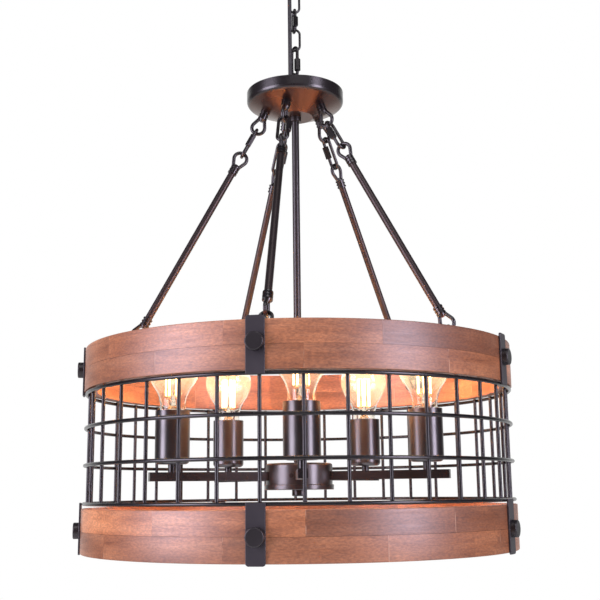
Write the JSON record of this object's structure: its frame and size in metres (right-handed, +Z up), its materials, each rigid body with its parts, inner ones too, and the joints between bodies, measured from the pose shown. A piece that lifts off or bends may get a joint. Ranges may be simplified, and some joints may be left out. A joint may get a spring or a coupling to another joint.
{
  "type": "cage chandelier",
  "caption": "Drum chandelier: wooden rings joined by a dark wire cage, hung on rods from a dished hub and chain, with clear screw-in bulbs on arms round a central stem.",
  "frame": {"origin": "on the ceiling face, above the stem, midway between the ceiling bracket's screw holes", "axes": "+Z up, -Y to the front of the picture, +X to its right"},
  "size_m": [0.5075, 0.5057, 0.7614],
  "materials": {
    "dark_metal": "satin near-black oiled bronze",
    "wood": "satin reddish-brown stain",
    "bulb_glass": "clear",
    "lamp_cap": "bright",
    "cord": "matt dark sheath",
    "lampholder": "matt black",
    "zinc_steel": "zinc plated"
  },
  "bodies": {
    "ceiling_canopy": {"canopy_dish": "dark_metal", "ceiling_bracket": "zinc_steel", "bracket_nut": "zinc_steel", "canopy_ring_nut": "dark_metal", "canopy_loop": "dark_metal", "canopy_cord_grip": "lampholder", "cord_canopy_end": "cord"},
    "chain_link_upper": {"chain_link_upper": "dark_metal", "cord_upper": "cord"},
    "quick_link_upper": {"quick_link_upper": "dark_metal", "cord_middle": "cord"},
    "sleeve_nut_upper": {"sleeve_nut_upper": "dark_metal"},
    "chain_link_lower": {"chain_link_lower": "dark_metal", "cord_lower": "cord"},
    "quick_link_lower": {"quick_link_lower": "dark_metal", "cord_hub_end": "cord"},
    "sleeve_nut_lower": {"sleeve_nut_lower": "dark_metal"},
    "chandelier": {"hub_dish": "dark_metal", "hub_cover": "dark_metal", "hub_top_loop": "dark_metal", "hub_cord_grip": "lampholder", "hub_loops": "dark_metal", "stem": "dark_metal", "stem_nuts": "zinc_steel", "hanging_rods": "dark_metal", "rod_loops": "dark_metal", "rod_quick_links": "dark_metal", "rod_sleeve_nuts": "dark_metal", "eye_bolts": "dark_metal", "cap_nuts": "dark_metal", "strap_bolts": "dark_metal", "nuts_and_washers": "zinc_steel", "upper_ring_top_course": "wood", "upper_ring_bottom_course": "wood", "lower_ring_top_course": "wood", "lower_ring_bottom_course": "wood", "hoop_top": "dark_metal", "hoop_upper_mid": "dark_metal", "hoop_lower_mid": "dark_metal", "hoop_bottom": "dark_metal", "uprights": "dark_metal", "clamp_straps": "dark_metal", "cluster_body": "dark_metal", "cluster_screw": "dark_metal", "cluster_cover": "dark_metal", "finial": "dark_metal", "light_arms": "dark_metal", "arm_stubs": "dark_metal", "lamp_sleeves": "dark_metal", "lampholders": "lampholder"},
    "bulb_1": {"bulb_glass_1": "bulb_glass", "bulb_base_1": "lamp_cap"},
    "bulb_2": {"bulb_glass_2": "bulb_glass", "bulb_base_2": "lamp_cap"},
    "bulb_3": {"bulb_glass_3": "bulb_glass", "bulb_base_3": "lamp_cap"},
    "bulb_4": {"bulb_glass_4": "bulb_glass", "bulb_base_4": "lamp_cap"},
    "bulb_5": {"bulb_glass_5": "bulb_glass", "bulb_base_5": "lamp_cap"}
  },
  "joints": [
    {"name": "canopy_loop_swing", "type": "hinge", "parent": "ceiling_canopy", "child": "chain_link_upper", "pos_m": [0, 0, -0.0625], "axis": [-0.1736, 0.9848, 0], "range_deg": [-25, 25], "deforming": ["cord_canopy_end"]},
    {"name": "upper_link_swing", "type": "hinge", "parent": "chain_link_upper", "child": "quick_link_upper", "pos_m": [0, 0, -0.0872], "axis": [0.9848, 0.1736, 0], "range_deg": [-25, 25], "deforming": ["cord_upper"]},
    {"name": "upper_quick_link_swing", "type": "hinge", "parent": "quick_link_upper", "child": "chain_link_lower", "pos_m": [0, 0, -0.1146], "axis": [0.2588, -0.9659, 0], "range_deg": [-25, 25], "deforming": ["cord_middle"]},
    {"name": "lower_link_swing", "type": "hinge", "parent": "chain_link_lower", "child": "quick_link_lower", "pos_m": [0, 0, -0.1399], "axis": [1, 0, 0], "range_deg": [-25, 25], "deforming": ["cord_lower"]},
    {"name": "lower_quick_link_swing", "type": "hinge", "parent": "quick_link_lower", "child": "chandelier", "pos_m": [0, 0, -0.177], "axis": [0.5, -0.866, 0], "range_deg": [-25, 25], "deforming": ["cord_hub_end"]},
    {"name": "sleeve_nut_upper_slide", "type": "slide", "parent": "quick_link_upper", "child": "sleeve_nut_upper", "axis": [0, 0, 1], "range_m": [0, 0.006]},
    {"name": "sleeve_nut_lower_slide", "type": "slide", "parent": "quick_link_lower", "child": "sleeve_nut_lower", "axis": [0, 0, 1], "range_m": [0, 0.0105]},
    {"name": "bulb_1_unscrew", "type": "hinge", "parent": "chandelier", "child": "bulb_1", "pos_m": [0, -0.152, -0.6027], "axis": [0, 0, 1], "range_deg": [0, 1080]},
    {"name": "bulb_2_unscrew", "type": "hinge", "parent": "chandelier", "child": "bulb_2", "pos_m": [0.14456, -0.04697, -0.6027], "axis": [0, 0, 1], "range_deg": [0, 1080]},
    {"name": "bulb_3_unscrew", "type": "hinge", "parent": "chandelier", "child": "bulb_3", "pos_m": [0.08934, 0.12297, -0.6027], "axis": [0, 0, 1], "range_deg": [0, 1080]},
    {"name": "bulb_4_unscrew", "type": "hinge", "parent": "chandelier", "child": "bulb_4", "pos_m": [-0.08934, 0.12297, -0.6027], "axis": [0, 0, 1], "range_deg": [0, 1080]},
    {"name": "bulb_5_unscrew", "type": "hinge", "parent": "chandelier", "child": "bulb_5", "pos_m": [-0.14456, -0.04697, -0.6027], "axis": [0, 0, 1], "range_deg": [0, 1080]}
  ]
}
